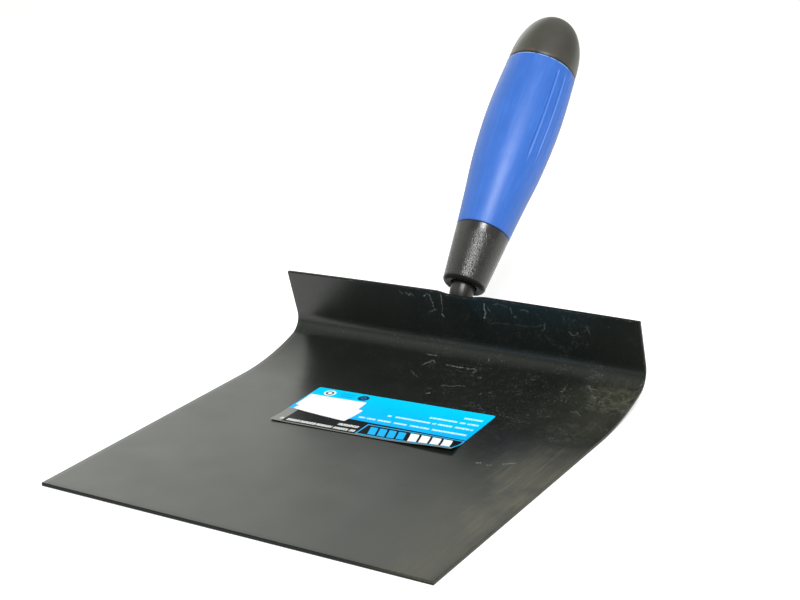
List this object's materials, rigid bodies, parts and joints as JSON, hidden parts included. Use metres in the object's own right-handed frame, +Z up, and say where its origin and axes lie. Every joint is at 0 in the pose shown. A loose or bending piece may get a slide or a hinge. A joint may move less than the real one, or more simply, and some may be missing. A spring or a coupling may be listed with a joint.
{
  "type": "harling trowel",
  "caption": "Pebble-dash scoop trowel: bent steel pan with a low flange, welded steel tang and a moulded soft-grip handle.",
  "frame": {"origin": "on the ground under the middle of the whole tool's outline, with the pan lying flat", "axes": "+X across the pan, +Y from the pan's front edge back towards the handle, +Z up out of the pan's floor"},
  "size_m": [0.165, 0.2614, 0.1347],
  "materials": {
    "lacquered_steel": "satin black lacquer",
    "tang_steel": "dark oxidised steel",
    "weld_metal": "rough weld under lacquer",
    "core_plastic": "spark-eroded charcoal plastic",
    "grip_rubber": "matt blue soft-touch",
    "cap_plastic": "smooth satin black",
    "label_vinyl": "glossy printed film",
    "white_paper": "matt paper"
  },
  "bodies": {
    "root": {"blade": "lacquered_steel", "tang": "tang_steel", "weld_left": "weld_metal", "weld_right": "weld_metal", "handle_core": "core_plastic", "soft_grip": "grip_rubber", "end_cap": "cap_plastic", "label": "label_vinyl", "price_sticker_lower": "white_paper", "price_sticker_upper": "white_paper"}
  },
  "joints": []
}
